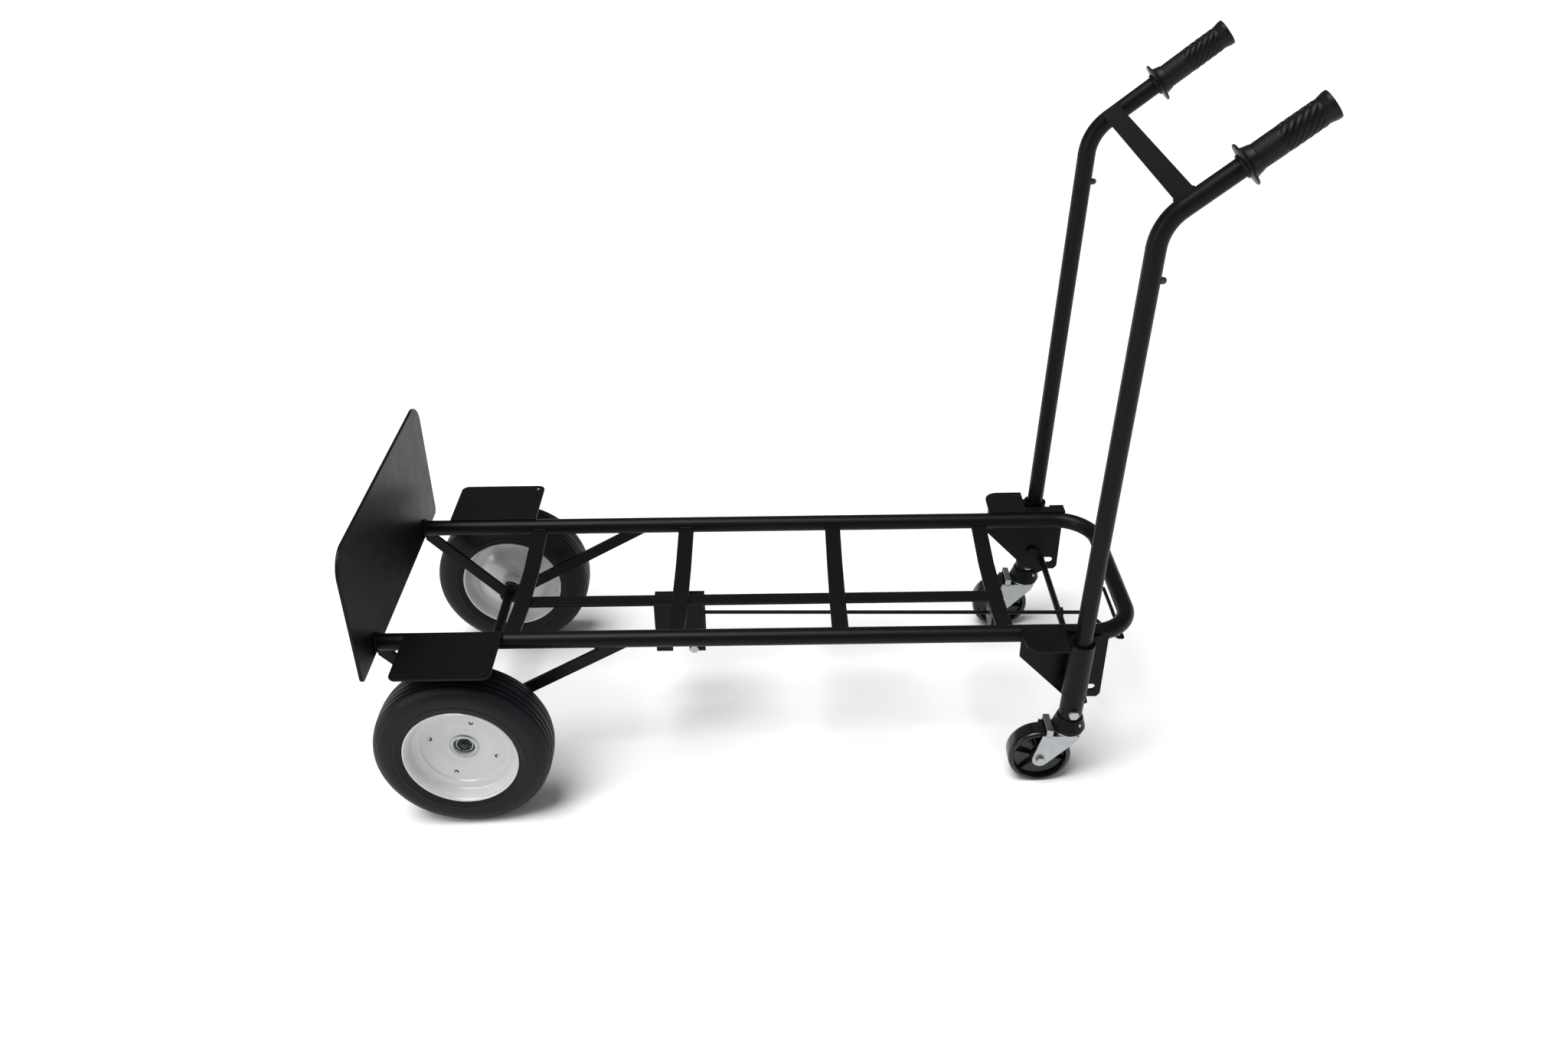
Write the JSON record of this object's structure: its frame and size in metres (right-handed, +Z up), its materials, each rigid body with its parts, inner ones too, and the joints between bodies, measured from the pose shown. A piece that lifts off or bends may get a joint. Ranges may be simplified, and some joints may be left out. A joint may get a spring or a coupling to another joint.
{
  "type": "convertible hand truck",
  "caption": "Tube-frame convertible hand truck in its platform position: dished cross straps, toe plate, large tyred wheels, swivel casters and an upright handle with a pull-loop latch.",
  "frame": {"origin": "floor level under the middle of the whole truck at rest", "axes": "+X towards the pull loop and grips, +Y towards the left side, +Z up"},
  "size_m": [1.2658, 0.53, 1.0085],
  "materials": {
    "black_steel": "satin black powder coat",
    "rim_enamel": "gloss off-white enamel",
    "tyre_rubber": "moulded rubber",
    "zinc_steel": "bright zinc plate",
    "caster_plastic": "gloss black",
    "grip_rubber": "soft matt black",
    "trim_plastic": "matt black"
  },
  "bodies": {
    "frame": {"frame_tube": "black_steel", "cross_strap_1": "black_steel", "cross_strap_2": "black_steel", "cross_strap_3": "black_steel", "cross_strap_4": "black_steel", "spine_bar": "black_steel", "toe_plate": "black_steel", "wheel_brace_left": "black_steel", "wheel_brace_right": "black_steel", "axle": "black_steel", "wheel_guard_left": "black_steel", "wheel_guard_right": "black_steel", "spring_bracket": "black_steel", "bracket_bolt": "zinc_steel", "rod_guide": "black_steel", "pivot_bracket_left": "black_steel", "pivot_bracket_right": "black_steel", "pivot_bolts": "zinc_steel", "axle_washers": "zinc_steel", "axle_end_caps": "zinc_steel", "latch_spring": "zinc_steel", "pivot_nuts": "zinc_steel"},
    "handle": {"handle_tube_left": "black_steel", "handle_tube_right": "black_steel", "handle_crossbar": "black_steel", "grip_left": "grip_rubber", "grip_right": "grip_rubber", "leg_tube_left": "black_steel", "leg_tube_right": "black_steel", "leg_collars": "black_steel", "leg_bushes": "trim_plastic", "cam_plates": "black_steel", "leg_bolts": "zinc_steel", "stop_buttons": "trim_plastic", "caster_cup_left": "black_steel", "caster_cup_right": "black_steel"},
    "release": {"release_rod": "black_steel", "pull_loop": "black_steel", "latch_bar": "black_steel", "rod_collar": "zinc_steel"},
    "main_wheel_left": {"tyre_left": "tyre_rubber", "rim_outer_left": "rim_enamel", "rim_inner_left": "rim_enamel", "hub_left": "rim_enamel", "bearings_left": "zinc_steel"},
    "caster_left": {"caster_fork_left": "zinc_steel", "caster_race_left": "zinc_steel", "caster_bolt_left": "zinc_steel"},
    "caster_roller_left": {"caster_wheel_left": "caster_plastic", "caster_bush_left": "zinc_steel"},
    "main_wheel_right": {"tyre_right": "tyre_rubber", "rim_outer_right": "rim_enamel", "rim_inner_right": "rim_enamel", "hub_right": "rim_enamel", "bearings_right": "zinc_steel"},
    "caster_right": {"caster_fork_right": "zinc_steel", "caster_race_right": "zinc_steel", "caster_bolt_right": "zinc_steel"},
    "caster_roller_right": {"caster_wheel_right": "caster_plastic", "caster_bush_right": "zinc_steel"}
  },
  "joints": [
    {"name": "main_wheel_left_spin", "type": "hinge", "parent": "frame", "child": "main_wheel_left", "pos_m": [-0.50293, 0.222, 0.13], "axis": [0, 1, 0], "continuous": true},
    {"name": "main_wheel_right_spin", "type": "hinge", "parent": "frame", "child": "main_wheel_right", "pos_m": [-0.50293, -0.222, 0.13], "axis": [0, 1, 0], "continuous": true},
    {"name": "handle_fold", "type": "hinge", "parent": "frame", "child": "handle", "pos_m": [0.3935, 0, 0.16674], "axis": [0, 1, 0], "range_deg": [0, 90]},
    {"name": "caster_left_swivel", "type": "hinge", "parent": "handle", "child": "caster_left", "pos_m": [0.38834, 0.197, 0.09292], "axis": [0.0698, 0, 0.9976], "continuous": true},
    {"name": "caster_left_roll", "type": "hinge", "parent": "caster_left", "child": "caster_roller_left", "pos_m": [0.34683, 0.197, 0.0469], "axis": [0, 1, 0], "continuous": true},
    {"name": "caster_right_swivel", "type": "hinge", "parent": "handle", "child": "caster_right", "pos_m": [0.38834, -0.197, 0.09292], "axis": [0.0698, 0, 0.9976], "continuous": true},
    {"name": "caster_right_roll", "type": "hinge", "parent": "caster_right", "child": "caster_roller_right", "pos_m": [0.34683, -0.197, 0.0469], "axis": [0, 1, 0], "continuous": true},
    {"name": "latch_release", "type": "slide", "parent": "frame", "child": "release", "axis": [0.9986, 0, -0.0523], "range_m": [0, 0.012], "stiffness_N_per_m": 900, "springref_m": -0.008, "deforming": ["latch_spring"]}
  ]
}
